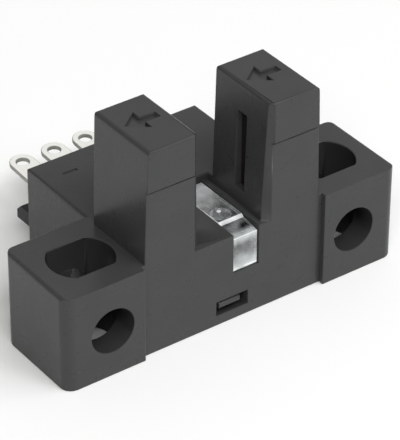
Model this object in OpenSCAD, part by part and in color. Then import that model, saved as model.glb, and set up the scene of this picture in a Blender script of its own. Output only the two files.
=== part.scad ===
// Slotted optical switch: two towers face each other across a sensing slot,
// on a base with two mounting ears and a row of solder tabs at the rear.
// The front looks along -Y. The origin lies on the base plane, midway between the upright ear slots.

/* [Mounting ears] */
// Overall length across both ears
ear_span = 26; // [25.5:0.25:34]
// Depth of the ears, front to back
ear_depth = 7; // [6.5:0.25:9]
// Height of the ears and the terminal block
base_h = 7; // [6.8:0.1:9]
// Radius of the ears' upright corners
ear_r = 0.8; // [0.3:0.1:1.4]
// Distance of the mounting holes from the head's sides
hole_out = 2.7; // [2.6:0.1:3.2]
// Diameter of the level mounting bores
bore_d = 3.2; // [2.6:0.1:4]
// Height of the level bores above the base
bore_z = 3.4; // [2.8:0.1:4.2]
// Width of the upright mounting slots
slot_w = 3.4; // [2.6:0.1:4]
// Overall length of the upright mounting slots
slot_len = 4.4; // [4.2:0.1:4.8]

/* [Sensing head] */
// Clear width of the sensing slot
gap_w = 5; // [4.6:0.1:6]
// Depth of the sensing slot's floor below the ears' tops
floor_drop = 0.5; // [0.3:0.05:0.7]
// Distance that the slot's floor runs behind the towers
pocket_run = 0.5; // [0.3:0.05:0.8]
// Chamfer along the slot's front edges
lead_in = 0.5; // [0.3:0.05:0.6]
// Width of each tower at its foot
tower_w = 4.3; // [4:0.1:4.6]
// Depth of the towers
tower_d = 5.8; // [5.4:0.1:6.2]
// Height of the towers above the ears
tower_rise = 8.25; // [7.75:0.25:11]
// Draft of the towers' inner and outer faces, degrees
draft = 1.7; // [0.5:0.1:2]
// Thinnest wall of the hollow towers
tower_wall = 0.6; // [0.5:0.05:0.7]
// Height of the optical axis above the slot's floor
optic_up = 4.7; // [4.2:0.1:5.1]
// Width of the light slits
slit_w = 1; // [0.6:0.1:1.4]
// Height of the light slits' foot above the slot's floor
slit_up = 1; // [0.8:0.05:1.2]
// Height of the light slits
slit_h = 5.7; // [5:0.1:5.8]

/* [Front panel] */
// Depth that the towers' fronts lie behind the ears' fronts
head_drop = 0.3; // [0.2:0.05:0.5]
// Further depth of the label field
label_drop = 0.1; // [0.05:0.05:0.2]
// Distance of the recess's ends from the head's sides
panel_out = 0.25; // [0.1:0.05:0.4]
// Distance of the label field's upper edge below the tower tops
label_margin = 2.95; // [2:0.05:4]
// Width of the snap window
window_w = 2.5; // [2.2:0.1:3.2]
// Sill of the snap window above the base
window_z = 0.75; // [0.6:0.05:1]
// Height of the snap window
window_h = 1.05; // [0.9:0.05:1.4]

/* [Terminal block] */
// Distance that the block reaches behind the ears
block_run = 6.9; // [6.5:0.1:10]
// Outer walls of the hollow base
wall = 1; // [0.8:0.05:1.2]
// Thickness of the roof under the sensing slot
roof = 1.2; // [0.9:0.1:1.4]
// Rounding of the top edges along the towers', ears' and block's sides
edge_r = 0.3; // [0.1:0.05:0.4]
// Rounding of the towers' other edges and the ears' rear top edges
soft_r = 0.15; // [0.1:0.05:0.25]

/* [Light guide] */
// Width of the light guide
guide_w = 1.9; // [1.5:0.1:2]
// Offset of the light guide from the slot's centre
guide_x = 1.05; // [0.5:0.05:1.1]
// Depth of the guide's groove in the floor and the front
guide_groove = 0.65; // [0.45:0.05:0.7]
// Height that the guide stands above the floor
guide_proud = 0.12; // [0.05:0.01:0.2]
// Depth that the guide's front leg lies behind the panel
guide_sunk = 0.22; // [0.1:0.02:0.3]
// Length of the guide's front leg below the floor
guide_fall = 2.9; // [2:0.1:3]
// Length of the sloped facet over the guide's bend
guide_slope = 1.35; // [0.8:0.05:2]
// Fall of the sloped facet over the guide's bend
guide_dip = 0.35; // [0.2:0.05:0.4]
// Distance of the guide's stem behind the front
stem_in = 3.2; // [2.8:0.1:3.6]
// Diameter of the guide's stem
stem_d = 1.2; // [0.8:0.1:1.4]

/* [Terminals] */
// Spacing of the solder tabs
tab_pitch = 2.54; // [2.4:0.02:2.7]
// Width of the solder tabs
tab_w = 1.8; // [1.5:0.1:1.9]
// Thickness of the solder tabs
tab_t = 0.3; // [0.2:0.05:0.5]
// Widening of the tabs' feet on each side
tab_shoulder = 0.15; // [0.1:0.05:0.2]
// Length of the tabs' feet on the board
tab_land = 2.6; // [2:0.1:3]
// Distance from the block's rear face to the eyelet
tab_reach = 5.1; // [4:0.1:8]
// Diameter of the eyelets
eye_d = 0.9; // [0.7:0.1:1.1]
// Projection of the ledge under the tabs
ledge_run = 1.9; // [1.2:0.1:3]
// Thickness of the ledge under the tabs
ledge_t = 1.15; // [0.8:0.05:1.5]
// Bevel along the ledge's rear edge
ledge_bevel = 0.5; // [0.3:0.05:0.7]
// Inset of the ledge's ends from the block's sides
ledge_inset = 0.4; // [0.1:0.05:0.8]

/* [Base cover and board] */
// Thickness of the base cover
cover_t = 0.7; // [0.5:0.05:0.7]
// Height of the board's underside
board_z = 2.1; // [2:0.1:2.4]
// Thickness of the board
board_t = 1; // [0.8:0.1:1.2]
// Width of the snap hook
hook_w = 2; // [1.6:0.1:2.1]
// Thickness of the snap hook's arm
hook_t = 0.6; // [0.4:0.05:0.7]
// Reach of the snap hook's barb into its window
barb = 0.4; // [0.2:0.05:0.6]
// Height of the barb's nose above the window's sill
nose_up = 0.45; // [0.3:0.05:0.5]
// Height of the barb's blunt nose
nose_h = 0.17; // [0.1:0.01:0.25]
// Gap round pieces that slide together
fit = 0.05; // [0.03:0.01:0.08]

/* [Optics and chips] */
// Thickness of the infrared windows' flange
filter_t = 0.35; // [0.25:0.05:0.4]
// Overlap of the flange round its slit
filter_lap = 0.5; // [0.3:0.05:0.6]
// Depth that the infrared windows lie behind the inner faces
filter_sunk = 0.3; // [0.1:0.05:0.4]
// Width of the emitter and receiver packages
chip_w = 3; // [2.4:0.1:3.4]
// Height of the emitter and receiver packages
chip_h = 3.8; // [3.2:0.1:4.2]
// Radius of the packages' lenses
lens_r = 1; // [0.8:0.05:1.1]
// Height of the packages' lenses
lens_h = 0.5; // [0.3:0.05:0.6]
// Side of the square package leads
lead_w = 0.35; // [0.3:0.05:0.4]
// Spacing of the package leads
lead_pitch = 1; // [0.95:0.01:1.1]
// Diameter of the board's lead holes
lead_hole = 0.65; // [0.6:0.01:0.7]
// Height of the solder cones under the board
solder_h = 0.5; // [0.3:0.05:0.7]
// Width of the solder cones beyond the lead holes
solder_lap = 0.1; // [0.05:0.01:0.12]
// Length of the chip parts on the board
part_len = 1.6; // [1.2:0.1:1.8]
// Width of the chip parts on the board
part_w = 0.8; // [0.6:0.05:0.9]
// Height of the chip parts on the board
part_h = 0.6; // [0.4:0.05:0.7]
// Distance of the chip parts' columns from the middle
column_x = 3.2; // [2.8:0.1:3.6]
// Spacing of the chip parts' rows
row_pitch = 1.8; // [1.6:0.05:2]
// Length of the transistor's body
body_len = 2.9; // [2.6:0.1:3]
// Width of the transistor's and the diode's bodies
body_w = 1.3; // [1.1:0.05:1.4]
// Height of the transistor's and the diode's bodies
body_h = 1; // [0.8:0.05:1.1]
// Spacing of the transistor's two feet from the middle
foot_x = 0.95; // [0.85:0.05:1]
// Width of the transistor's feet
foot_w = 0.4; // [0.3:0.05:0.5]
// Projection of the transistor's feet
foot_run = 0.4; // [0.3:0.05:0.5]
// Thickness of the transistor's feet
foot_t = 0.15; // [0.1:0.01:0.2]

/* [Hidden] */
$fn = 48;
eps = 0.01;
arc_steps = 5;

// planes of the housing
front_y = -ear_depth / 2;
ear_back = ear_depth / 2;
head_front = front_y + head_drop;
panel_y = head_front + label_drop;
head_w = gap_w + 2 * tower_w;
head_back = head_front + tower_d;
hole_x = head_w / 2 + hole_out;
gap_floor = base_h - floor_drop;
tower_h = base_h + tower_rise;
panel_top = tower_h - label_margin;
lean = (tower_h - base_h) * tan(draft);
gap_lean = (tower_h - gap_floor) * tan(draft);
block_back = ear_back + block_run;
pocket_back = head_back + pocket_run;
reach = ear_span + block_back + tower_h;

// hollow of the base
cav_x = head_w / 2 - wall;
cav_front = panel_y + wall;
cav_back = block_back - wall;
cav_top = gap_floor - roof;

// hollow of one tower, drawn on the +X side
nook_x0 = gap_w / 2 + gap_lean + tower_wall;
nook_x1 = head_w / 2 - lean - tower_wall;
nook_y0 = panel_y + tower_wall;
nook_y1 = head_back - tower_wall;
nook_top = tower_h - tower_wall;
optic_y = (nook_y0 + nook_y1) / 2;
optic_z = gap_floor + optic_up;
slit_z = gap_floor + slit_up;
filter_x = nook_x0 + filter_t;
chip_x0 = filter_x + lens_h + fit;
chip_x1 = nook_x1 - fit;
chip_foot = optic_z - chip_h / 2;
lead_x = (chip_x0 + chip_x1) / 2;
emitter_rows = [-0.5, 0.5];
receiver_rows = [-1, 0, 1];

// board, cover and tabs
board_top = board_z + board_t;
board_x = cav_x - 4 * fit;
board_front = cav_front + 2 * fit;
board_back = cav_back - 2 * fit;
notch_x = cav_x - wall / 2;
ledge_x = head_w / 2 - ledge_inset;
ledge_back = block_back + ledge_run;
tab_x = [for (i = [0:3]) (i - 1.5) * tab_pitch];
tab_foot = board_back - tab_land;
eye_y = block_back + tab_reach;
tab_top = board_top + tab_t;

// light guide
guide_back = pocket_back - fit;
guide_base = gap_floor - guide_groove;
guide_top = gap_floor + guide_proud;
guide_front = panel_y + guide_sunk;
guide_rear = panel_y + guide_groove;
guide_low = gap_floor - guide_fall;
lamp_y = front_y + stem_in;
lamp_top = board_top + part_h;

// rows of chip parts between the towers and the tabs
row_a = nook_y1 + body_w;
row_b = row_a + row_pitch;

// Points of the arc of radius r that rounds the corner b between a and c.
function unit(v) = v / norm(v);
function fillet(a, b, c, r) =
    let (u = unit(a - b), v = unit(c - b), half = acos(u * v) / 2)
    let (centre = b + unit(u + v) * r / sin(half))
    let (from = b + u * r / tan(half) - centre, to = b + v * r / tan(half) - centre)
    [for (i = [0:arc_steps])
        let (t = i / arc_steps, sweep = 180 - 2 * half)
        centre + (from * sin((1 - t) * sweep) + to * sin(t * sweep)) / sin(sweep)];

// Closed outline with each corner rounded by its own radius; a radius of zero keeps it sharp.
function rounded(pts, radii) =
    let (n = len(pts))
    [for (i = [0:n - 1])
        each (radii[i] > 0
            ? fillet(pts[(i + n - 1) % n], pts[i], pts[(i + 1) % n], radii[i])
            : [pts[i]])];

function box_outline(x0, x1, y0, y1) = [[x0, y0], [x1, y0], [x1, y1], [x0, y1]];

// Block between two corners.
module brick(from, to) {
    translate(from) cube(to - from);
}

// Solid with a front outline in XZ, a side outline in YZ and a plan in XY.
module tri_profile(front, side, plan) {
    intersection() {
        rotate([90, 0, 0]) linear_extrude(reach * 2, center = true) polygon(front);
        rotate([90, 0, 90]) linear_extrude(reach * 2, center = true) polygon(side);
        linear_extrude(reach) polygon(plan);
    }
}

// Slab of both ears, with rounded upright corners and ends; its front top edge is sharp.
module ear_slab() {
    x = ear_span / 2;
    tri_profile(
        rounded(box_outline(-x, x, 0, base_h), [0, 0, edge_r, edge_r]),
        rounded(box_outline(front_y, ear_back, 0, base_h), [0, 0, soft_r, 0]),
        rounded(box_outline(-x, x, front_y, ear_back), [ear_r, ear_r, ear_r, ear_r]));
}

// Terminal block behind the ears.
module rear_block() {
    x = head_w / 2;
    tri_profile(
        rounded(box_outline(-x, x, 0, base_h), [0, 0, edge_r, edge_r]),
        rounded(box_outline(0, block_back, 0, base_h), [0, 0, edge_r, 0]),
        rounded(box_outline(-x, x, 0, block_back), [0, 0, edge_r, edge_r]));
}

// Both towers before the slot is cut, with drafted sides.
module head_mass() {
    x = head_w / 2;
    top = x - lean;
    tri_profile(
        rounded([[-x, 0], [x, 0], [x, base_h], [top, tower_h], [-top, tower_h], [-x, base_h]],
            [0, 0, 0, edge_r, edge_r, 0]),
        rounded(box_outline(head_front, head_back, 0, tower_h), [0, 0, soft_r, soft_r]),
        rounded(box_outline(-x, x, head_front, head_back), [soft_r, soft_r, soft_r, soft_r]));
}

// Sensing slot with drafted sides, rounded upper edges and chamfered front edges.
module gap_cut() {
    a = gap_w / 2;
    top = a + gap_lean;
    mouth = [[a, gap_floor], [top, tower_h], [top + 1, tower_h], [top + 1, tower_h + 1]];
    outline = concat(mouth, [for (i = [3:-1:0]) [-mouth[i][0], mouth[i][1]]]);
    rotate([90, 0, 0])
        translate([0, 0, -pocket_back])
            linear_extrude(pocket_back - front_y + 1)
                polygon(rounded(outline, [0, edge_r, 0, 0, 0, 0, edge_r, 0]));
    wide = a + lead_in + panel_y - front_y;
    translate([0, 0, gap_floor])
        linear_extrude(tower_h)
            polygon([[-wide, front_y], [wide, front_y], [a, panel_y + lead_in], [-a, panel_y + lead_in]]);
}

// Recess across the front of the base and the lower towers.
module panel_cut() {
    x = head_w / 2 + panel_out;
    brick([-x, front_y - 1, -1], [x, panel_y, panel_top]);
}

// Upright obround slot through one ear.
module ear_slot() {
    run = slot_len / 2 - slot_w / 2;
    translate([0, 0, -1])
        linear_extrude(base_h + 2) {
            square([2 * run, slot_w], center = true);
            for (s = [-1, 1])
                translate([s * run, 0]) circle(d = slot_w);
        }
}

// Level bore through one ear.
module ear_bore() {
    translate([0, 0, bore_z])
        rotate([90, 0, 0]) cylinder(d = bore_d, h = ear_depth + 2, center = true);
}

// Hollow and light slit of one tower.
module tower_hollow() {
    brick([nook_x0, nook_y0, cav_top - eps], [nook_x1, nook_y1, nook_top]);
    brick([gap_w / 2 - 1, optic_y - slit_w / 2, slit_z],
        [nook_x0 + eps, optic_y + slit_w / 2, slit_z + slit_h]);
}

// Groove and stem hole for the light guide.
module guide_cut() {
    x0 = guide_x - guide_w / 2 - fit;
    x1 = guide_x + guide_w / 2 + fit;
    brick([x0, panel_y - 1, gap_floor - guide_groove], [x1, guide_back + fit, gap_floor + 1]);
    brick([x0, panel_y - 1, guide_low - fit], [x1, panel_y + guide_groove, gap_floor]);
    translate([guide_x, lamp_y, cav_top - 1]) cylinder(d = stem_d + 2 * fit, h = gap_floor - cav_top + 1);
}

// Opening in the rear wall for the cover's tongue, with a slot above it for each tab.
module rear_cut() {
    brick([-notch_x, cav_back - 1, -1], [notch_x, block_back + 1, board_top + fit]);
    for (x = tab_x)
        brick([x - tab_w / 2 - fit, cav_back - 1, board_z],
            [x + tab_w / 2 + fit, block_back + 1, tab_top + fit]);
}

module housing() {
    color([0.13, 0.13, 0.135])
        difference() {
            union() {
                ear_slab();
                rear_block();
                head_mass();
            }
            gap_cut();
            panel_cut();
            for (s = [-1, 1])
                translate([s * hole_x, 0, 0]) {
                    ear_slot();
                    ear_bore();
                }
            brick([-cav_x, cav_front, -1], [cav_x, cav_back, cav_top]);
            tower_hollow();
            mirror([1, 0, 0]) tower_hollow();
            guide_cut();
            brick([-window_w / 2, front_y - 1, window_z],
                [window_w / 2, cav_front + 1, window_z + window_h]);
            rear_cut();
        }
}

// Outline of the snap hook, seen from the side: an arm and a barb with a blunt nose that rests on the sill.
function hook_outline() =
    let (arm = cav_front + fit, tip = cav_front - barb, seat = cav_front - barb / 4)
    let (high = window_z + window_h - fit, nose = window_z + nose_up)
    [[arm, 0], [arm + hook_t, 0], [arm + hook_t, high], [arm, high], [tip, nose + nose_h], [tip, nose],
        [seat, window_z + barb / 2], [seat, window_z], [arm, window_z]];

// Outline of the ledge under the tabs, seen from the side and starting at y.
function ledge_outline(y) =
    [[y, board_top - ledge_t], [ledge_back, board_top - ledge_t],
        [ledge_back, board_top - ledge_bevel], [ledge_back - ledge_bevel, board_top], [y, board_top]];

// Extrudes a side outline along X, centred, to the given width.
module across(outline, width) {
    rotate([90, 0, 90]) linear_extrude(width, center = true) polygon(outline);
}

module base_cover() {
    color([0.11, 0.11, 0.115]) {
        brick([-cav_x + fit, cav_front + fit, 0], [cav_x - fit, cav_back - fit, cover_t]);
        brick([-notch_x + fit, cav_back - wall / 2, 0], [notch_x - fit, block_back, cover_t]);
        brick([-notch_x + fit, cav_back - fit, 0], [notch_x - fit, block_back, board_top]);
        across(ledge_outline(cav_back), 2 * (notch_x - fit));
        across(ledge_outline(block_back), 2 * ledge_x);
        across(hook_outline(), hook_w);
        for (s = [-1, 1])
            translate([s * (board_x - wall / 2), 0, 0])
                brick([-wall / 2, nook_y1, cover_t - eps], [wall / 2, board_back, board_z]);
    }
}

module light_guide() {
    outline = [[guide_back, guide_base], [guide_back, guide_top], [guide_front + guide_slope, guide_top],
        [guide_front, guide_top - guide_dip], [guide_front, guide_low], [guide_rear, guide_low],
        [guide_rear, guide_base]];
    color([0.9, 0.93, 0.95, 0.6]) {
        translate([guide_x, 0, 0]) across(outline, guide_w);
        translate([guide_x, lamp_y, lamp_top + 2 * fit])
            cylinder(d = stem_d, h = guide_base - lamp_top);
    }
}

// Infrared-passing strip: a flange inside the tower and a rib in its slit.
module filter_strip() {
    y = slit_w / 2;
    color([0.08, 0.05, 0.06]) {
        brick([nook_x0, optic_y - y - filter_lap, slit_z - filter_lap],
            [filter_x, optic_y + y + filter_lap, slit_z + slit_h + filter_lap]);
        brick([gap_w / 2 + gap_lean + filter_sunk, optic_y - y + fit, slit_z + fit],
            [nook_x0 + eps, optic_y + y - fit, slit_z + slit_h - fit]);
    }
}

module emitter_window() {
    filter_strip();
}

module receiver_window() {
    mirror([1, 0, 0]) filter_strip();
}

// Hole in the board for one lead, p pitches behind the optical axis.
module lead_bore(x, p) {
    translate([x, optic_y + p * lead_pitch, board_z - 1]) cylinder(d = lead_hole, h = board_t + 2);
}

module circuit_board() {
    relief = hook_w / 2 + 4 * fit;
    color([0.1, 0.3, 0.16])
        difference() {
            brick([-board_x, board_front, board_z], [board_x, board_back, board_top]);
            brick([-relief, board_front - 1, board_z - 1],
                [relief, cav_front + hook_t + 4 * fit, board_top + 1]);
            for (p = emitter_rows)
                lead_bore(lead_x, p);
            for (p = receiver_rows)
                lead_bore(-lead_x, p);
        }
}

// Moulded package with a domed lens that looks across the slot.
module optic_package() {
    y = chip_w / 2;
    ball_r = (lens_r * lens_r + lens_h * lens_h) / (2 * lens_h);
    brick([chip_x0, optic_y - y, chip_foot], [chip_x1, optic_y + y, chip_foot + chip_h]);
    intersection() {
        translate([chip_x0 - lens_h + ball_r, optic_y, optic_z]) sphere(r = ball_r);
        brick([chip_x0 - lens_h, optic_y - y, chip_foot], [chip_x0 + eps, optic_y + y, chip_foot + chip_h]);
    }
}

// Lead from the package down through the board, with its solder cone, p pitches behind the axis.
module optic_lead(p) {
    color([0.75, 0.75, 0.74])
        translate([lead_x, optic_y + p * lead_pitch, 0]) {
            brick([-lead_w / 2, -lead_w / 2, board_z - solder_h], [lead_w / 2, lead_w / 2, chip_foot]);
            translate([0, 0, board_z - solder_h])
                cylinder(d1 = lead_hole, d2 = lead_hole + 2 * solder_lap, h = solder_h);
        }
}

module emitter_led() {
    color([0.55, 0.6, 0.75]) optic_package();
}

module emitter_anode() {
    optic_lead(emitter_rows[0]);
}

module emitter_cathode() {
    optic_lead(emitter_rows[1]);
}

module receiver_ic() {
    color([0.12, 0.1, 0.12]) mirror([1, 0, 0]) optic_package();
}

module receiver_supply() {
    mirror([1, 0, 0]) optic_lead(receiver_rows[0]);
}

module receiver_output() {
    mirror([1, 0, 0]) optic_lead(receiver_rows[1]);
}

module receiver_ground() {
    mirror([1, 0, 0]) optic_lead(receiver_rows[2]);
}

// Chip part on the board, centred at x and y, with its length along X.
module chip_part(x, y, length, width, height) {
    translate([x - length / 2, y - width / 2, board_top]) cube([length, width, height]);
}

module indicator_led() {
    color([0.9, 0.5, 0.35]) chip_part(guide_x, lamp_y, part_len, part_w, part_h);
}

// Three-lead transistor: a body and its flat feet.
module output_transistor() {
    out = (body_w + foot_run) / 2;
    color([0.1, 0.1, 0.1]) {
        chip_part(0, row_a, body_len, body_w, body_h);
        for (x = [-foot_x, foot_x])
            chip_part(x, row_a - out, foot_w, foot_run + 2 * eps, foot_t);
        chip_part(0, row_a + out, foot_w, foot_run + 2 * eps, foot_t);
    }
}

module protection_diode() {
    color([0.12, 0.12, 0.12]) chip_part(-column_x, row_a, part_len, body_w, body_h);
}

module led_resistor() {
    color([0.15, 0.15, 0.17]) chip_part(column_x, row_a, part_len, part_w, part_h);
}

module output_resistor() {
    color([0.15, 0.15, 0.17]) chip_part(-column_x, row_b, part_len, part_w, part_h);
}

module bypass_capacitor() {
    color([0.6, 0.5, 0.38]) chip_part(column_x, row_b, part_len, part_w, part_w);
}

// Flat solder tab with a shoulder inside the block and an eyelet at its end.
module solder_tab(x) {
    color([0.78, 0.78, 0.75])
        translate([x, 0, board_top])
            linear_extrude(tab_t)
                difference() {
                    union() {
                        translate([-tab_w / 2, tab_foot]) square([tab_w, eye_y - tab_foot]);
                        translate([-tab_w / 2 - tab_shoulder, tab_foot])
                            square([tab_w + 2 * tab_shoulder, cav_back - fit - tab_foot]);
                        translate([0, eye_y]) circle(d = tab_w);
                    }
                    translate([0, eye_y]) circle(d = eye_d);
                }
}

module terminal_minus() {
    solder_tab(tab_x[0]);
}

module terminal_out() {
    solder_tab(tab_x[1]);
}

module terminal_light() {
    solder_tab(tab_x[2]);
}

module terminal_plus() {
    solder_tab(tab_x[3]);
}

housing();
base_cover();
light_guide();
emitter_window();
receiver_window();
circuit_board();
emitter_led();
emitter_anode();
emitter_cathode();
receiver_ic();
receiver_supply();
receiver_output();
receiver_ground();
indicator_led();
output_transistor();
protection_diode();
led_resistor();
output_resistor();
bypass_capacitor();
terminal_minus();
terminal_out();
terminal_light();
terminal_plus();
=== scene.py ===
"""Looks of a slotted optical switch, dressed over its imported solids.

Each class below dresses one sub-assembly of the switch or sets the stage for it, and main() builds them
in order. Lengths are in metres, in the frame of the solids: +X along the ears, +Y to the rear, +Z up.
"""

import logging
import math
from collections.abc import Callable, Iterable, Sequence
from dataclasses import dataclass
from enum import Enum

import bmesh
import bpy
from mathutils import Matrix, Vector


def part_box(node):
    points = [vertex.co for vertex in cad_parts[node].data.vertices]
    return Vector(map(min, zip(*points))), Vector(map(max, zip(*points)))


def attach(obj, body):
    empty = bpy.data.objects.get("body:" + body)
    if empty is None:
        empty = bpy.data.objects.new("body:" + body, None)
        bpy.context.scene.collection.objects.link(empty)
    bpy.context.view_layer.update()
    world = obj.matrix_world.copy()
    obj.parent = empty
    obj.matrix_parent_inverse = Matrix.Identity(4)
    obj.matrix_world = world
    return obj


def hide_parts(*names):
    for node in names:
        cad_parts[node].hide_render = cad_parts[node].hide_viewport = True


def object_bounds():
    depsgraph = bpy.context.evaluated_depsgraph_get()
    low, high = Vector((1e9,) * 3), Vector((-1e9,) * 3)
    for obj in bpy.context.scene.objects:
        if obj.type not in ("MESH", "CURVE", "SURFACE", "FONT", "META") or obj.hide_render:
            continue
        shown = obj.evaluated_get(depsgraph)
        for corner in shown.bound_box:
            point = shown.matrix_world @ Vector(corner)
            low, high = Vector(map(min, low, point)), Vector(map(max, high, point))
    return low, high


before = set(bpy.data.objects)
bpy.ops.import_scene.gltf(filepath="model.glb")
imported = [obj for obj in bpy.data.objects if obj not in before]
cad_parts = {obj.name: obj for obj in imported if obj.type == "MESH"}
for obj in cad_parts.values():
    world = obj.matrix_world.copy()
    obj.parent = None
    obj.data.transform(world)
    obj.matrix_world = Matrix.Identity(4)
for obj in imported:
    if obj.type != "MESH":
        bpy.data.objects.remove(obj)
CAD_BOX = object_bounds()

LOG = logging.getLogger("slotted_switch")
BODY = "root"
MM = 0.001

# Welding distance and flatness for copies of the solids' meshes.
WELD = 0.001 * MM
FLAT = math.radians(0.5)
# Cutters reach this far past what they cut.
SPARE = 1.0 * MM
# Edges over this angle are softened, and edges over the second one are shaded as sharp.
SHARP = math.radians(40)
CREASE = math.radians(32)
# An edge is softened only beside a face of more than this area.
BROAD = 1.5 * MM * MM
# A direction with more than this share along an axis counts as aligned with it.
ALIGNED = 0.9
# Places on the housing: the tops of its ears, the middles of its upright slots, and bounds round those
# slots, the mouth of the sensing slot and the snap window.
BASE_TOP = 7.0 * MM
HOLE_X = 9.5 * MM
SLOT_REACH = 2.3 * MM
MOUTH_IN = 2.4 * MM
MOUTH_OUT = 3.6 * MM
MOUTH_REAR = -2.0 * MM
MOUTH_LOW = 6.4 * MM
WINDOW_REACH = 2.0 * MM

Colour = tuple[float, float, float]
Point2 = tuple[float, float]
Point3 = tuple[float, float, float]
EdgeTest = Callable[[bmesh.types.BMEdge], bool]


class Slot(Enum):
    """Names of material slots, passed along with each new piece."""

    HOUSING = "housing"
    COVER = "base_cover"
    GUIDE = "light_guide"
    TERMINAL = "terminal"


class Axis(Enum):
    """Axes of the frame along which a haze can grow."""

    DEPTH = "Y"
    HEIGHT = "Z"


@dataclass(frozen=True)
class Haze:
    """Haze that grows along an axis of the frame from one place to another."""

    axis: Axis
    start: float
    end: float
    amount: float


class Shader:
    """Material in the making: adds nodes and links them to its Principled shader."""

    # Most of a noise's values lie between these two.
    NOISE_LOW = 0.3
    NOISE_HIGH = 0.7

    def __init__(self, name: str) -> None:
        """Starts a material on the piece's own coordinates.

        Args:
            name: Name of the material.
        """
        self.material = bpy.data.materials.new(name)
        self.material.use_nodes = True
        self.tree = self.material.node_tree
        self.bsdf = self.tree.nodes["Principled BSDF"]
        self.coords = self.add("ShaderNodeTexCoord").outputs["Object"]

    def add(self, kind: str, **inputs: object) -> bpy.types.Node:
        """Adds a node.

        Args:
            kind: Type of the node.
            inputs: Values for its sockets, whose names have underscores for spaces.

        Returns:
            The new node.
        """
        node = self.tree.nodes.new(kind)
        for key, value in inputs.items():
            node.inputs[key.replace("_", " ")].default_value = value
        return node

    def link(self, source: bpy.types.NodeSocket, target: bpy.types.NodeSocket) -> None:
        """Links one socket to another."""
        self.tree.links.new(source, target)

    def plain(self, **inputs: object) -> None:
        """Sets uniform values straight on the shader's own sockets."""
        for key, value in inputs.items():
            self.bsdf.inputs[key.replace("_", " ")].default_value = value

    def drive(self, socket: str, value: bpy.types.NodeSocket) -> None:
        """Lets a value drive one of the shader's own sockets."""
        self.link(value, self.bsdf.inputs[socket])

    def noise(self, size: float, detail: float = 3.0) -> bpy.types.NodeSocket:
        """Adds a noise.

        Args:
            size: Rough size of its features.
            detail: Number of finer layers in it.

        Returns:
            The noise value, around a half.
        """
        node = self.add("ShaderNodeTexNoise", Scale=1.0 / size, Detail=detail)
        self.link(self.coords, node.inputs["Vector"])
        return node.outputs["Fac"]

    def spread(self, value: bpy.types.NodeSocket, low: float = 0.0,
               high: float = 1.0) -> bpy.types.NodeSocket:
        """Maps the middle of a noise value onto a range.

        Args:
            value: The noise value.
            low: Start of the range.
            high: End of the range.

        Returns:
            The mapped value.
        """
        node = self.add("ShaderNodeMapRange", From_Min=self.NOISE_LOW, From_Max=self.NOISE_HIGH,
                        To_Min=low, To_Max=high)
        self.link(value, node.inputs["Value"])
        return node.outputs["Result"]

    def along(self, haze: Haze) -> bpy.types.NodeSocket:
        """Adds a value that grows along an axis.

        Args:
            haze: The axis, the two places and the amount at the second one.

        Returns:
            The value, zero before the first place and the haze's amount past the second.
        """
        split = self.add("ShaderNodeSeparateXYZ")
        self.link(self.coords, split.inputs["Vector"])
        node = self.add("ShaderNodeMapRange", From_Min=haze.start, From_Max=haze.end,
                        To_Min=0.0, To_Max=haze.amount)
        self.link(split.outputs[haze.axis.value], node.inputs["Value"])
        return node.outputs["Result"]

    def minus(self, first: bpy.types.NodeSocket, second: bpy.types.NodeSocket) -> bpy.types.NodeSocket:
        """Takes one value from another.

        Args:
            first: The value to take from.
            second: The value to take away.

        Returns:
            The difference.
        """
        node = self.add("ShaderNodeMath")
        node.operation = "SUBTRACT"
        self.link(first, node.inputs[0])
        self.link(second, node.inputs[1])
        return node.outputs["Value"]

    def mottle(self, size: float, first: Colour, second: Colour) -> None:
        """Drives the base colour between two tones.

        Args:
            size: Rough size of the patches.
            first: One tone.
            second: The other tone.
        """
        factor = self.spread(self.noise(size))
        node = self.add("ShaderNodeMix")
        node.data_type = "RGBA"
        tones = [s for s in node.inputs if s.type == "RGBA"]
        for socket, tone in zip(tones, (first, second)):
            socket.default_value = (*tone, 1.0)
        self.link(factor, node.inputs["Factor"])
        self.drive("Base Color", next(s for s in node.outputs if s.type == "RGBA"))

    def bump(self, height: bpy.types.NodeSocket, depth: float, strength: float) -> None:
        """Raises the surface by a height value.

        Args:
            height: The value, from zero to one.
            depth: Height of the surface at one.
            strength: Share of the effect.
        """
        node = self.add("ShaderNodeBump", Strength=strength, Distance=depth)
        self.link(height, node.inputs["Height"])
        self.drive("Normal", node.outputs["Normal"])


@dataclass(frozen=True)
class MouldedPlastic:
    """Satin moulded plastic: fine tool grain, faint flow tones and uneven gloss."""

    name: str
    tone: Colour
    shade: Colour
    gloss_low: float = 0.26
    gloss_high: float = 0.32
    ior: float = 1.31
    flow: float = 2.4 * MM
    patch: float = 0.9 * MM
    grain: float = 0.12 * MM
    grain_depth: float = 0.0008 * MM
    grain_strength: float = 0.15

    def build(self) -> bpy.types.Material:
        """Builds the material.

        Returns:
            The material.
        """
        shader = Shader(self.name)
        shader.plain(IOR=self.ior)
        shader.mottle(self.flow, self.tone, self.shade)
        shader.drive("Roughness", shader.spread(shader.noise(self.patch), self.gloss_low, self.gloss_high))
        shader.bump(shader.noise(self.grain, 1.0), self.grain_depth, self.grain_strength)
        return shader.material


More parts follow.
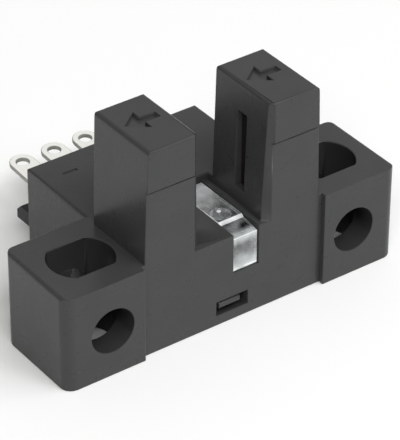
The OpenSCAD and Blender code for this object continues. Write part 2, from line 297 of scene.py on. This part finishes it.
@dataclass(frozen=True)
class ClearPlastic:
    """Clear moulded plastic with a little haze and flow waves on its skin."""

    name: str
    tone: Colour
    shade: Colour
    clear_low: float
    clear_high: float
    roughness: float = 0.08
    hazes: tuple[Haze, ...] = ()
    ior: float = 1.57
    flow: float = 1.1 * MM
    cloud: float = 0.8 * MM
    wave: float = 0.7 * MM
    wave_depth: float = 0.02 * MM
    wave_strength: float = 0.3

    def build(self) -> bpy.types.Material:
        """Builds the material.

        Returns:
            The material.
        """
        shader = Shader(self.name)
        shader.plain(IOR=self.ior, Roughness=self.roughness)
        shader.mottle(self.flow, self.tone, self.shade)
        clear = shader.spread(shader.noise(self.cloud, 1.0), self.clear_low, self.clear_high)
        for haze in self.hazes:
            clear = shader.minus(clear, shader.along(haze))
        shader.drive("Transmission Weight", clear)
        shader.bump(shader.noise(self.wave, 1.0), self.wave_depth, self.wave_strength)
        return shader.material


@dataclass(frozen=True)
class TinnedMetal:
    """Bright tin over stamped metal, with faint rolling lines along the strip."""

    name: str
    tone: Colour
    shade: Colour
    gloss_low: float = 0.38
    gloss_high: float = 0.52
    metal: float = 0.3
    patch: float = 0.6 * MM
    line: float = 0.12 * MM
    line_squeeze: float = 0.08
    line_depth: float = 0.004 * MM
    line_strength: float = 0.3

    def build(self) -> bpy.types.Material:
        """Builds the material.

        Returns:
            The material.
        """
        shader = Shader(self.name)
        shader.plain(Metallic=self.metal)
        stretch = shader.add("ShaderNodeMapping", Scale=(1.0, self.line_squeeze, 1.0))
        shader.link(shader.coords, stretch.inputs["Vector"])
        shader.coords = stretch.outputs["Vector"]
        lines = shader.noise(self.line)
        shader.mottle(self.patch, self.tone, self.shade)
        shader.drive("Roughness", shader.spread(lines, self.gloss_low, self.gloss_high))
        shader.bump(lines, self.line_depth, self.line_strength)
        return shader.material


@dataclass(frozen=True)
class FiredChip:
    """Small chip part or lacquered board: a mottled, slightly rough skin."""

    name: str
    tone: Colour
    shade: Colour
    roughness: float
    roughness_spread: float = 0.06
    speck: float = 0.25 * MM
    patch: float = 0.5 * MM
    speck_depth: float = 0.005 * MM
    speck_strength: float = 0.2

    def build(self) -> bpy.types.Material:
        """Builds the material.

        Returns:
            The material.
        """
        shader = Shader(self.name)
        shader.mottle(self.speck, self.tone, self.shade)
        low, high = self.roughness - self.roughness_spread, self.roughness + self.roughness_spread
        shader.drive("Roughness", shader.spread(shader.noise(self.patch), low, high))
        shader.bump(shader.noise(self.speck), self.speck_depth, self.speck_strength)
        return shader.material


def new_object(name: str, bm: bmesh.types.BMesh) -> bpy.types.Object:
    """Turns a bmesh into a linked object and frees it.

    Args:
        name: Name of the object and its mesh.
        bm: The shape, in the frame of the solids.

    Returns:
        The new object, at the origin.
    """
    bmesh.ops.recalc_face_normals(bm, faces=bm.faces)
    mesh = bpy.data.meshes.new(name)
    bm.to_mesh(mesh)
    bm.free()
    obj = bpy.data.objects.new(name, mesh)
    bpy.context.scene.collection.objects.link(obj)
    return obj


def welded(mesh: bpy.types.Mesh) -> bmesh.types.BMesh:
    """Copies a mesh with its seams welded and its flat facets joined.

    Args:
        mesh: The mesh, which stays as it is.

    Returns:
        The copy.
    """
    bm = bmesh.new()
    bm.from_mesh(mesh)
    bmesh.ops.remove_doubles(bm, verts=bm.verts, dist=WELD)
    bmesh.ops.dissolve_limit(bm, angle_limit=FLAT, verts=bm.verts, edges=bm.edges)
    return bm


def welded_copy(node: str) -> bmesh.types.BMesh:
    """Returns a welded copy of a solid's mesh."""
    return welded(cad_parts[node].data)


def any_edge(edge: bmesh.types.BMEdge) -> bool:
    """Chooses every edge."""
    return edge.is_valid


def soften(bm: bmesh.types.BMesh, width: float, segments: int = 2, choose: EdgeTest = any_edge,
           material: int = -1, broad: float = BROAD) -> int:
    """Rounds the chosen sharp outer edges that lie beside a broad face.

    Args:
        bm: The shape, changed in place.
        width: Width of the rounding.
        segments: Steps of the rounding.
        choose: Test that an edge must pass to be rounded.
        material: Material index of the rounding, or -1 for that of the faces beside it.
        broad: Area that one of an edge's faces must exceed.

    Returns:
        Number of edges that were rounded.
    """
    edges = [e for e in bm.edges if e.is_manifold and e.is_convex and e.calc_face_angle(0.0) > SHARP
             and max(f.calc_area() for f in e.link_faces) > broad and choose(e)]
    bmesh.ops.bevel(bm, geom=edges, offset=width, offset_type="OFFSET", segments=segments, profile=0.5,
                    affect="EDGES", clamp_overlap=False, loop_slide=True, material=material)
    return len(edges)


def split_at(bm: bmesh.types.BMesh, point: Point3, normal: Point3) -> None:
    """Splits the faces of a shape where a plane crosses them.

    Args:
        bm: The shape, changed in place.
        point: A point of the plane.
        normal: The plane's normal.
    """
    everything = [*bm.verts, *bm.edges, *bm.faces]
    bmesh.ops.bisect_plane(bm, geom=everything, dist=WELD, plane_co=point, plane_no=normal)


def shade(obj: bpy.types.Object) -> None:
    """Shades rounded edges smooth and keeps broad faces flat.

    Args:
        obj: The piece.
    """
    obj.data.shade_smooth()
    obj.data.set_sharp_from_angle(angle=CREASE)
    even = obj.modifiers.new("even_normals", "WEIGHTED_NORMAL")
    even.keep_sharp = True


def place(obj: bpy.types.Object, slot: Slot, *materials: bpy.types.Material) -> None:
    """Gives a piece its materials and its body.

    Args:
        obj: The piece.
        slot: Not used.
        materials: The materials, in the order of the faces' indices.
    """
    for material in materials:
        obj.data.materials.append(material)
    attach(obj, BODY)


def carve(obj: bpy.types.Object, bm: bmesh.types.BMesh) -> None:
    """Cuts a shape out of an object's mesh.

    Args:
        obj: The object to cut.
        bm: The shape of the cut, which is freed.
    """
    cutter = new_object("cutter", bm)
    cut = obj.modifiers.new("carve", "BOOLEAN")
    cut.operation = "DIFFERENCE"
    cut.solver = "EXACT"
    cut.object = cutter
    graph = bpy.context.evaluated_depsgraph_get()
    carved = bpy.data.meshes.new_from_object(obj.evaluated_get(graph))
    obj.modifiers.clear()
    obj.data = carved
    bpy.data.objects.remove(cutter)


def extruded(outline: Sequence[Point3], way: Point3) -> bmesh.types.BMesh:
    """Extrudes a flat outline.

    Args:
        outline: Corners of the outline.
        way: Length and direction of the extrusion.

    Returns:
        The closed shape.
    """
    bm = bmesh.new()
    face = bm.faces.new([bm.verts.new(corner) for corner in outline])
    grown = bmesh.ops.extrude_face_region(bm, geom=[face])
    far = [v for v in grown["geom"] if isinstance(v, bmesh.types.BMVert)]
    bmesh.ops.translate(bm, verts=far, vec=way)
    bmesh.ops.recalc_face_normals(bm, faces=bm.faces)
    return bm


def prism(plan: Sequence[Point2], low: float, high: float) -> bmesh.types.BMesh:
    """Extrudes a plan outline of (x, y) points between two heights."""
    return extruded([(x, y, low) for x, y in plan], (0.0, 0.0, high - low))


def beam(side: Sequence[Point2], left: float, right: float) -> bmesh.types.BMesh:
    """Extrudes a side outline of (y, z) points from left to right."""
    return extruded([(left, y, z) for y, z in side], (right - left, 0.0, 0.0))


@dataclass(frozen=True)
class BeamArrow:
    """Engraved arrow on a tower's top that shows the way of the light beam."""

    length: float = 2.5 * MM
    head_length: float = 1.35 * MM
    head_width: float = 2.05 * MM
    shaft_width: float = 0.62 * MM
    depth: float = 0.28 * MM

    def outline(self, centre: Point2) -> list[Point2]:
        """Draws the arrow, which points to -X.

        Args:
            centre: Middle of the arrow.

        Returns:
            Corners of the outline.
        """
        tip = centre[0] - self.length / 2
        neck = tip + self.head_length
        tail = tip + self.length
        half = self.shaft_width / 2
        wing = self.head_width / 2
        y = centre[1]
        return [(tip, y), (neck, y - wing), (neck, y - half), (tail, y - half),
                (tail, y + half), (neck, y + half), (neck, y + wing)]


@dataclass(frozen=True)
class DashSign:
    """Engraved dash that marks the negative tab."""

    length: float = 1.05 * MM
    width: float = 0.24 * MM
    depth: float = 0.1 * MM

    def outline(self, centre: Point2) -> list[Point2]:
        """Draws the dash.

        Args:
            centre: Middle of the dash.

        Returns:
            Corners of the outline.
        """
        x, y = self.length / 2, self.width / 2
        return [(centre[0] - x, centre[1] - y), (centre[0] + x, centre[1] - y),
                (centre[0] + x, centre[1] + y), (centre[0] - x, centre[1] + y)]


@dataclass(frozen=True)
class FlattedHole:
    """Plan of an upright ear hole: a round hole with a flat at its front and its rear."""

    radius: float = 2.205 * MM
    half_width: float = 1.705 * MM
    steps: int = 20

    def outline(self, centre: Point2) -> list[Point2]:
        """Draws the hole.

        Args:
            centre: Middle of the hole.

        Returns:
            Points of the outline.
        """
        reach = math.asin(self.half_width / self.radius)
        turns = [reach * (2 * i / self.steps - 1) for i in range(self.steps + 1)]
        right = [(self.radius * math.cos(t), self.radius * math.sin(t)) for t in turns]
        ring = right + [(-x, -y) for x, y in right]
        return [(centre[0] + x, centre[1] + y) for x, y in ring]


@dataclass
class Housing:
    """Black moulded housing with engraved signs, softened edges and painted shade on the walls of its ear
    holes.
    """

    finish: MouldedPlastic
    # Darker, rougher copy of the plastic for the ear holes' walls: painted shade.
    hole_shade_paint: MouldedPlastic
    edge: float = 0.05 * MM
    lip: float = 0.08 * MM
    mouth_edge: float = 0.06 * MM
    brow: float = 0.14 * MM
    hole: FlattedHole = FlattedHole()
    arrow: BeamArrow = BeamArrow()
    dash: DashSign = DashSign()
    # The arrow stands a little behind and to the left of the middle of each tower's top.
    arrow_behind: float = 0.44 * MM
    arrow_left: float = 0.1 * MM
    # The dash stands to the left of the first tab's middle and in front of the block's rear face.
    dash_left: float = 0.85 * MM
    dash_ahead: float = 2.0 * MM
    # The fine line above the panel lies this far under the towers' tops.
    line_down: float = 2.96 * MM
    line_height: float = 0.17 * MM
    line_depth: float = 0.06 * MM
    # The window's sill falls behind its rim, all the way through the wall.
    sill_rim: float = 0.06 * MM
    sill_fall: float = 0.4 * MM
    sill_depth: float = 1.05 * MM

    def tower_tops(self, mesh: bpy.types.Mesh) -> list[tuple[Point2, float]]:
        """Finds where the arrows go.

        Args:
            mesh: The housing's mesh.

        Returns:
            The arrow's middle and the height of the flat top, for each tower.
        """
        spots = [v.co for v in mesh.vertices]
        height = max(c.z for c in spots)
        tops = []
        for side in (-1, 1):
            rim = [c for c in spots if c.z > height - WELD and c.x * side > 0]
            middle = [(min(c[i] for c in rim) + max(c[i] for c in rim)) / 2 for i in range(2)]
            tops.append(((middle[0] - self.arrow_left, middle[1] + self.arrow_behind), height))
        return tops

    def dash_place(self) -> Point2:
        """Returns the dash's middle on the terminal block's top."""
        low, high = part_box("terminal_minus")
        return (low[0] + high[0]) / 2 - self.dash_left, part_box("housing")[1][1] - self.dash_ahead

    def engrave(self, obj: bpy.types.Object) -> None:
        """Cuts the signs into the tower tops and the block's top, and the flatted holes into the ears.

        Args:
            obj: The housing.
        """
        cuts = [(self.arrow.outline(centre), height, self.arrow.depth)
                for centre, height in self.tower_tops(obj.data)]
        cuts.append((self.dash.outline(self.dash_place()), BASE_TOP, self.dash.depth))
        cuts += [(self.hole.outline((x, 0.0)), BASE_TOP, BASE_TOP + SPARE) for x in (-HOLE_X, HOLE_X)]
        for outline, height, depth in cuts:
            carve(obj, prism(outline, height - depth, height + SPARE))

    def relieve(self, obj: bpy.types.Object) -> None:
        """Cuts the fine line above the front panel and slopes the sill of the snap window in it.

        Args:
            obj: The housing, with its window still square.
        """
        middle = [v.co.copy() for v in obj.data.vertices if abs(v.co.x) < WINDOW_REACH]
        panel = min(c.y for c in middle)
        ahead, behind = panel - SPARE, panel + self.line_depth
        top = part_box("housing")[1][2] - self.line_down
        bottom = top - self.line_height
        line = [(ahead, bottom), (behind, bottom), (behind, top), (ahead, top)]
        carve(obj, beam(line, CAD_BOX[0][0], CAD_BOX[1][0]))
        rim = [c for c in middle if c.y < panel + WELD]
        half = max(c.x for c in rim) - self.sill_rim
        sill = min(c.z for c in rim)
        near, far = panel + self.sill_rim, panel + self.sill_depth
        fall = [(near, sill), (far, sill - self.sill_fall), (far, sill + SPARE), (near, sill + SPARE)]
        carve(obj, beam(fall, -half, half))

    def is_lip(self, edge: bmesh.types.BMEdge) -> bool:
        """Chooses the rims of the upright slots on the ears' tops."""
        return all(abs(v.co.z - BASE_TOP) < WELD and abs(abs(v.co.x) - HOLE_X) < SLOT_REACH
                   and abs(v.co.y) < SLOT_REACH for v in edge.verts)

    def is_mouth(self, edge: bmesh.types.BMEdge) -> bool:
        """Chooses the upright edges on either side of the sensing slot's mouth.

        Args:
            edge: An edge of the housing.

        Returns:
            Whether it is one of them.
        """
        first, second = (v.co for v in edge.verts)
        upright = abs(first.z - second.z) > ALIGNED * (first - second).length
        beside = MOUTH_IN < abs(first.x) < MOUTH_OUT
        return upright and beside and first.y < MOUTH_REAR and first.z > MOUTH_LOW

    def is_brow(self, edge: bmesh.types.BMEdge) -> bool:
        """Chooses the block's edge over the rear wall of the sensing slot."""
        return all(abs(v.co.z - BASE_TOP) < WELD and abs(v.co.x) < MOUTH_OUT and abs(v.co.y) < MOUTH_OUT
                   for v in edge.verts)

    def is_plain(self, edge: bmesh.types.BMEdge) -> bool:
        """Chooses what is left, but for the ears' sharp front top edges."""
        return not all(v.co.z > BASE_TOP - WELD and v.co.y < CAD_BOX[0][1] + WELD for v in edge.verts)

    def paint_hole_shade(self, bm: bmesh.types.BMesh) -> None:
        """Paints shade on the walls of the ears' upright slots and of the bores before them, with a darker,
        rougher copy of the plastic.

        Args:
            bm: The housing's shape, with its edges softened.
        """
        front, rear = CAD_BOX[0][1] + self.lip, self.hole.half_width + self.edge
        for face in bm.faces:
            x, y, z = face.calc_center_median()
            across = abs(abs(x) - HOLE_X) < SLOT_REACH
            if across and front < y < rear and self.lip < z < BASE_TOP - self.lip:
                # The hole walls take the darker second material: painted shade.
                face.material_index = 1

    def build(self) -> bpy.types.Object:
        """Builds the dressed housing in place of its solid.

        Returns:
            The housing.
        """
        obj = new_object("housing_shell", welded_copy("housing"))
        self.engrave(obj)
        self.relieve(obj)
        bm = welded(obj.data)
        count = soften(bm, self.lip, 3, self.is_lip)
        count += soften(bm, self.mouth_edge, 3, self.is_mouth)
        count += soften(bm, self.brow, 3, self.is_brow)
        count += soften(bm, self.edge, 2, self.is_plain)
        LOG.info("housing: %d edges softened", count)
        bmesh.ops.recalc_face_normals(bm, faces=bm.faces)
        self.paint_hole_shade(bm)
        bm.to_mesh(obj.data)
        bm.free()
        shade(obj)
        place(obj, Slot.HOUSING, self.finish.build(), self.hole_shade_paint.build())
        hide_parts("housing")
        return obj


@dataclass
class BaseCover:
    """Snap-in base cover with its ledge under the tabs."""

    finish: MouldedPlastic
    # The snap hook's nose takes a lighter copy of the cover's plastic: painted light.
    nose_light_paint: MouldedPlastic
    edge: float = 0.05 * MM
    # The snap hook's nose stands further out than in its solid, is taller and ends short of its right side.
    nose_out: float = 0.52 * MM
    nose_rise: float = 0.2 * MM
    nose_short: float = 0.36 * MM

    def fill_window(self, bm: bmesh.types.BMesh) -> None:
        """Brings the snap hook's blunt nose forward in its window and paints light on it with the cover's
        lighter second material.

        Args:
            bm: The cover's shape.
        """
        tip = min(v.co.y for v in bm.verts)
        nose = [v for v in bm.verts if v.co.y < tip + WELD]
        high = max(v.co.z for v in nose)
        for vert in nose:
            vert.co.y -= self.nose_out
            if vert.co.x > 0.0:
                vert.co.x -= self.nose_short
            if vert.co.z > high - WELD:
                vert.co.z += self.nose_rise
            # The nose's faces take the lighter second material: painted light.
            for face in vert.link_faces:
                face.material_index = 1

    def build(self) -> bpy.types.Object:
        """Builds the dressed cover in place of its solid.

        Returns:
            The cover.
        """
        bm = welded_copy("base_cover")
        self.fill_window(bm)
        soften(bm, self.edge)
        obj = new_object("base_cover_shell", bm)
        shade(obj)
        place(obj, Slot.COVER, self.finish.build(), self.nose_light_paint.build())
        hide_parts("base_cover")
        return obj


@dataclass
class LightGuide:
    """Clear light guide with frosted, rounded edges and a small gate mark on its upper leg."""

    finish: ClearPlastic
    frost: ClearPlastic
    front: ClearPlastic
    edge: float = 0.045 * MM
    # The upper leg is sunk, the facet before it lies one step lower, and the front leg stands ahead.
    sink: float = 0.15 * MM
    step: float = 0.18 * MM
    ahead: float = 0.1 * MM
    # A face is slanted where its normal has more than this share both up and ahead.
    slant: float = 0.3
    # The front leg is frosted up to this height above its lower end.
    foot: float = 0.16 * MM
    # The gate mark stands a little to the left of the guide's middle.
    mark_left: float = 0.14 * MM
    mark_radius: float = 0.16 * MM
    mark_height: float = 0.06 * MM
    mark_steps: int = 24

    def lower_facet(self, obj: bpy.types.Object) -> float:
        """Sinks the upper leg a little, and the sloped facet before it by one step more.

        Args:
            obj: The guide.

        Returns:
            The place of the fold between the two, along the depth.
        """
        low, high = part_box("light_guide")
        spots = [v.co for v in obj.data.vertices]
        top = high[2] - self.sink
        for spot in spots:
            if spot.z > high[2] - WELD:
                spot.z = top
        fold = min(c.y for c in spots if c.z > top - WELD)
        brow = max(c.z for c in spots if c.y < low[1] + WELD)
        fall = (top - brow) / (fold - low[1])
        ahead = low[1] - SPARE
        side = [(fold, top - self.step), (fold + self.step + SPARE, top + SPARE),
                (ahead, top + SPARE), (ahead, brow - self.step - fall * SPARE)]
        carve(obj, beam(side, low[0] - SPARE, high[0] + SPARE))
        return fold

    def frost_faces(self, bm: bmesh.types.BMesh, fold: float) -> None:
        """Frosts the sides, the underside, the step and the foot, and sets the front leg's face apart.

        Args:
            bm: The guide's shape, with its edges softened.
            fold: The place of the fold before the step.
        """
        front = min(v.co.y for v in bm.verts)
        foot = min(v.co.z for v in bm.verts if v.co.y < front + WELD) + self.foot
        split_at(bm, (0.0, 0.0, foot), (0.0, 0.0, 1.0))
        for face in bm.faces:
            middle = face.calc_center_median()
            slanted = self.slant < face.normal.z < ALIGNED and face.normal.y < -self.slant
            facing = face.normal.y < -ALIGNED
            flank = abs(face.normal.x) > ALIGNED or face.normal.z < -ALIGNED
            if flank or (slanted and middle.y > fold) or (facing and middle.z < foot):
                face.material_index = 1
            elif facing:
                face.material_index = 2

    def mark(self, material: bpy.types.Material) -> bpy.types.Object:
        """Adds the gate mark: a low dome on the upper leg, over the stem.

        Args:
            material: The mark's material.

        Returns:
            The mark.
        """
        low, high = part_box("light_guide")
        lamp_low, lamp_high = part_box("indicator_led")
        centre = ((low[0] + high[0]) / 2 - self.mark_left, (lamp_low[1] + lamp_high[1]) / 2,
                  high[2] - self.sink)
        bm = bmesh.new()
        bmesh.ops.create_uvsphere(bm, u_segments=self.mark_steps, v_segments=self.mark_steps // 2,
                                  radius=self.mark_radius)
        bmesh.ops.scale(bm, verts=bm.verts, vec=(1.0, 1.0, self.mark_height / self.mark_radius))
        bmesh.ops.translate(bm, verts=bm.verts, vec=centre)
        obj = new_object("light_guide_mark", bm)
        obj.data.shade_smooth()
        place(obj, Slot.GUIDE, material)
        return obj

    def build(self) -> list[bpy.types.Object]:
        """Builds the dressed guide in place of its solid.

        Returns:
            The guide and its gate mark.
        """
        obj = new_object("light_guide_body", welded_copy("light_guide"))
        fold = self.lower_facet(obj)
        bm = welded(obj.data)
        front = [v for v in bm.verts if v.co.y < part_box("light_guide")[0][1] + WELD]
        bmesh.ops.translate(bm, verts=front, vec=(0.0, -self.ahead, 0.0))
        soften(bm, self.edge, 3, material=1)
        bmesh.ops.recalc_face_normals(bm, faces=bm.faces)
        self.frost_faces(bm, fold)
        bm.to_mesh(obj.data)
        bm.free()
        shade(obj)
        clear, frosted, front_face = self.finish.build(), self.frost.build(), self.front.build()
        place(obj, Slot.GUIDE, clear, frosted, front_face)
        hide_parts("light_guide")
        return [obj, self.mark(frosted)]


@dataclass
class Terminals:
    """Row of stamped solder tabs with eyelets, lifted a little towards their ends."""

    finish: TinnedMetal
    cut_finish: TinnedMetal
    edge: float = 0.05 * MM
    # The tabs rise by this much for each length behind the block.
    lift: float = math.tan(math.radians(2.5))
    # A face whose normal has less than this share along the height is a cut wall.
    wall: float = 0.7
    nodes: tuple[str, ...] = ("terminal_minus", "terminal_out", "terminal_light", "terminal_plus")

    def shape(self, node: str) -> bmesh.types.BMesh:
        """Lifts a tab behind the housing and rounds its rims.

        Args:
            node: Node of the tab's solid.

        Returns:
            The tab's shape.
        """
        bm = welded_copy(node)
        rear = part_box("housing")[1][1]
        split_at(bm, (0.0, rear, 0.0), (0.0, 1.0, 0.0))
        for vert in bm.verts:
            vert.co.z += max(0.0, vert.co.y - rear) * self.lift
        soften(bm, self.edge, material=1, broad=0.0)
        for face in bm.faces:
            if abs(face.normal.z) < self.wall:
                face.material_index = 1
        return bm

    def build(self) -> list[bpy.types.Object]:
        """Builds each dressed tab in place of its solid.

        Returns:
            The tabs.
        """
        finish, cut_finish = self.finish.build(), self.cut_finish.build()
        tabs = []
        for node in self.nodes:
            obj = new_object(f"{node}_tab", self.shape(node))
            shade(obj)
            place(obj, Slot.TERMINAL, finish, cut_finish)
            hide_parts(node)
            tabs.append(obj)
        return tabs


@dataclass
class InnerPieces:
    """Pieces inside the housing, which keep their solids and get their own finishes."""

    window: MouldedPlastic
    board: FiredChip
    emitter: ClearPlastic
    receiver: MouldedPlastic
    lead: TinnedMetal
    lamp: ClearPlastic
    body: MouldedPlastic
    resistor: FiredChip
    capacitor: FiredChip

    def dress(self) -> list[bpy.types.Object]:
        """Gives every inner solid its material.

        Returns:
            The solids.
        """
        finishes = {
            ("emitter_window", "receiver_window"): self.window,
            ("circuit_board",): self.board,
            ("emitter_led",): self.emitter,
            ("receiver_ic",): self.receiver,
            ("emitter_anode", "emitter_cathode", "receiver_supply", "receiver_output",
             "receiver_ground"): self.lead,
            ("indicator_led",): self.lamp,
            ("output_transistor", "protection_diode"): self.body,
            ("led_resistor", "output_resistor"): self.resistor,
            ("bypass_capacitor",): self.capacitor,
        }
        dressed = []
        for nodes, finish in finishes.items():
            material = finish.build()
            for node in nodes:
                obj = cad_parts[node]
                obj.data.materials.clear()
                obj.data.materials.append(material)
                dressed.append(obj)
        return dressed


@dataclass(frozen=True)
class Softbox:
    """Soft rectangular lamp aimed at the switch from a direction."""

    name: str
    towards: Point3
    distance: float
    width: float
    height: float
    watts: float
    tint: Colour

    def build(self, target: Vector) -> bpy.types.Object:
        """Hangs the lamp.

        Args:
            target: The point to aim at.

        Returns:
            The lamp.
        """
        data = bpy.data.lights.new(self.name, "AREA")
        data.shape = "RECTANGLE"
        data.size = self.width
        data.size_y = self.height
        data.energy = self.watts
        data.color = self.tint
        obj = bpy.data.objects.new(self.name, data)
        bpy.context.scene.collection.objects.link(obj)
        way = Vector(self.towards).normalized()
        obj.location = target + way * self.distance
        obj.rotation_euler = way.to_track_quat("Z", "Y").to_euler()
        return obj


@dataclass
class Stage:
    """Pale floor, soft studio light and the camera at the photograph's angle."""

    softboxes: tuple[Softbox, ...]
    floor_side: float = 6.0
    floor_gap: float = 0.02 * MM
    floor_tone: float = 0.88
    floor_roughness: float = 0.9
    # The sky grows brighter towards this direction, from this share of it on.
    sky_towards: Point3 = (0.8, 0.3, 0.5)
    sky_start: float = 0.1
    sky_low: float = 0.22
    sky_high: float = 0.42
    # The camera looks at this point from this far off, turned, raised and rolled by angles in degrees.
    aim: Point3 = (1.53 * MM, 2.56 * MM, 3.95 * MM)
    distance: float = 184.3 * MM
    turn: float = -36.18
    rise: float = 34.46
    roll: float = 0.3
    # Focal length and height of the film, in millimetres.
    lens: float = 231.6
    film: float = 36.0
    # The camera sees what lies between these two distances.
    nearest: float = 0.005
    farthest: float = 20.0

    def floor(self) -> bpy.types.Object:
        """Lays the floor, which is white where no shadow falls on it.

        Returns:
            The floor.
        """
        bm = bmesh.new()
        bmesh.ops.create_grid(bm, x_segments=1, y_segments=1, size=self.floor_side / 2)
        bmesh.ops.translate(bm, verts=bm.verts, vec=(0.0, 0.0, -self.floor_gap))
        obj = new_object("floor", bm)
        material = bpy.data.materials.new("floor_paper")
        material.use_nodes = True
        inputs = material.node_tree.nodes["Principled BSDF"].inputs
        inputs["Base Color"].default_value = (self.floor_tone,) * 3 + (1.0,)
        inputs["Roughness"].default_value = self.floor_roughness
        inputs["Specular IOR Level"].default_value = 0.0
        obj.data.materials.append(material)
        return obj

    def sky(self) -> None:
        """Fills the room with soft light that fades towards the front left."""
        world = bpy.data.worlds.new("studio_room")
        world.use_nodes = True
        tree = world.node_tree
        background = tree.nodes["Background"]
        background.inputs["Color"].default_value = (1.0, 1.0, 1.0, 1.0)
        view = tree.nodes.new("ShaderNodeTexCoord")
        share = tree.nodes.new("ShaderNodeVectorMath")
        share.operation = "DOT_PRODUCT"
        share.inputs[1].default_value = Vector(self.sky_towards).normalized()
        ramp = tree.nodes.new("ShaderNodeMapRange")
        ramp.inputs["From Min"].default_value = self.sky_start
        ramp.inputs["To Min"].default_value = self.sky_low
        ramp.inputs["To Max"].default_value = self.sky_high
        tree.links.new(view.outputs["Generated"], share.inputs[0])
        tree.links.new(share.outputs["Value"], ramp.inputs["Value"])
        tree.links.new(ramp.outputs["Result"], background.inputs["Strength"])
        bpy.context.scene.world = world

    def camera(self) -> bpy.types.Object:
        """Sets the camera at the photograph's angle.

        Returns:
            The camera.
        """
        turn, rise = math.radians(self.turn), math.radians(self.rise)
        way = Vector((math.sin(turn) * math.cos(rise), -math.cos(turn) * math.cos(rise), math.sin(rise)))
        data = bpy.data.cameras.new("camera")
        data.sensor_fit = "VERTICAL"
        data.sensor_height = self.film
        data.lens = self.lens
        data.clip_start = self.nearest
        data.clip_end = self.farthest
        obj = bpy.data.objects.new("camera", data)
        bpy.context.scene.collection.objects.link(obj)
        look = way.to_track_quat("Z", "Y").to_matrix().to_4x4()
        spin = Matrix.Rotation(math.radians(self.roll), 4, "Z")
        obj.matrix_world = Matrix.Translation(Vector(self.aim) + way * self.distance) @ look @ spin
        bpy.context.scene.camera = obj
        return obj

    def build(self) -> None:
        """Builds the floor, the light and the camera."""
        self.floor()
        self.sky()
        for softbox in self.softboxes:
            softbox.build(Vector(self.aim))
        self.camera()
        bpy.context.scene.view_settings.view_transform = "Standard"


def make_light_guide() -> LightGuide:
    """Chooses the light guide's finishes.

    Returns:
        The guide, ready to build.
    """
    tone, shaded = (0.88, 0.91, 0.92), (0.8, 0.84, 0.85)
    foot = Haze(Axis.HEIGHT, 4.9 * MM, 3.9 * MM, 0.4)
    head = Haze(Axis.HEIGHT, 5.4 * MM, 5.95 * MM, 0.38)
    rear = Haze(Axis.DEPTH, -0.2 * MM, 2.4 * MM, 0.5)
    facet = Haze(Axis.DEPTH, -2.3 * MM, -2.95 * MM, 0.4)
    return LightGuide(
        finish=ClearPlastic("guide_clear", tone, shaded, 0.8, 1.0, hazes=(rear, facet, foot)),
        frost=ClearPlastic("guide_frosted", (0.92, 0.94, 0.95), (0.86, 0.89, 0.9), 0.15, 0.45, 0.4),
        front=ClearPlastic("guide_front", tone, shaded, 0.75, 0.95, hazes=(foot, head)),
    )


def make_inner_pieces() -> InnerPieces:
    """Chooses the inner pieces' finishes.

    Returns:
        The pieces, ready to dress.
    """
    return InnerPieces(
        window=MouldedPlastic("infrared_dark", (0.016, 0.012, 0.013), (0.012, 0.009, 0.01), 0.1, 0.16),
        board=FiredChip("board_lacquer", (0.05, 0.22, 0.1), (0.04, 0.18, 0.08), 0.35),
        emitter=ClearPlastic("emitter_resin", (0.35, 0.42, 0.6), (0.3, 0.37, 0.55), 0.45, 0.55),
        receiver=MouldedPlastic("receiver_resin", (0.03, 0.025, 0.03), (0.024, 0.02, 0.024), 0.12, 0.2),
        lead=TinnedMetal("lead_tin", (0.76, 0.75, 0.73), (0.68, 0.67, 0.65)),
        lamp=ClearPlastic("lamp_resin", (0.9, 0.4, 0.25), (0.85, 0.36, 0.22), 0.25, 0.35, 0.25),
        body=MouldedPlastic("chip_moulding", (0.03, 0.03, 0.03), (0.024, 0.024, 0.024), 0.4, 0.5),
        resistor=FiredChip("resistor_coat", (0.05, 0.05, 0.06), (0.04, 0.04, 0.05), 0.3),
        capacitor=FiredChip("capacitor_body", (0.45, 0.34, 0.22), (0.4, 0.3, 0.19), 0.4),
    )


def make_stage() -> Stage:
    """Chooses the lamps.

    Returns:
        The stage, ready to build.
    """
    return Stage((
        Softbox("key", towards=(0.49, -0.56, 0.67), distance=0.9, width=0.7, height=0.7,
                watts=3.2, tint=(0.98, 1.0, 1.0)),
        Softbox("rim", towards=(0.56, 0.6, 0.57), distance=0.9, width=0.5, height=0.5,
                watts=0.22, tint=(1.0, 0.99, 0.96)),
        Softbox("fill", towards=(-0.46, -0.56, 0.69), distance=1.1, width=0.4, height=0.4,
                watts=4.6, tint=(1.0, 1.0, 0.95)),
        Softbox("front", towards=(0.0, -0.61, 0.79), distance=1.2, width=0.9, height=0.4,
                watts=7.4, tint=(0.99, 1.0, 1.0)),
    ))


def main() -> None:
    """Builds every sub-assembly and the stage, in order, and reports each piece."""
    logging.basicConfig(level=logging.INFO, format="%(name)s: %(message)s")
    black = MouldedPlastic("black_moulding", (0.0445, 0.046, 0.0455), (0.0405, 0.042, 0.0415))
    # Darker, rougher, less reflective copy of the black moulding for the ear holes' walls: painted shade.
    hole_shade = MouldedPlastic("hole_painted_shade", (0.026, 0.027, 0.0265), (0.023, 0.024, 0.0235), 0.4, 0.46, 1.25)
    cover = MouldedPlastic("cover_moulding", (0.024, 0.025, 0.025), (0.021, 0.022, 0.022), ior=1.2)
    # Lighter copy of the cover's plastic for the snap hook's nose: painted light.
    nose = MouldedPlastic("nose_painted_light", (0.046, 0.0475, 0.047), (0.042, 0.0435, 0.043))
    tin = TinnedMetal("bright_tin", (0.92, 0.91, 0.88), (0.84, 0.83, 0.8))
    cut_tin = TinnedMetal("cut_metal", (0.32, 0.32, 0.29), (0.26, 0.26, 0.24))
    pieces = [Housing(black, hole_shade).build(), BaseCover(cover, nose).build()]
    pieces += make_light_guide().build()
    pieces += Terminals(tin, cut_tin).build()
    pieces += make_inner_pieces().dress()
    for piece in pieces:
        LOG.info("dressed %s", piece.name)
    make_stage().build()


if __name__ == "__main__":
    main()
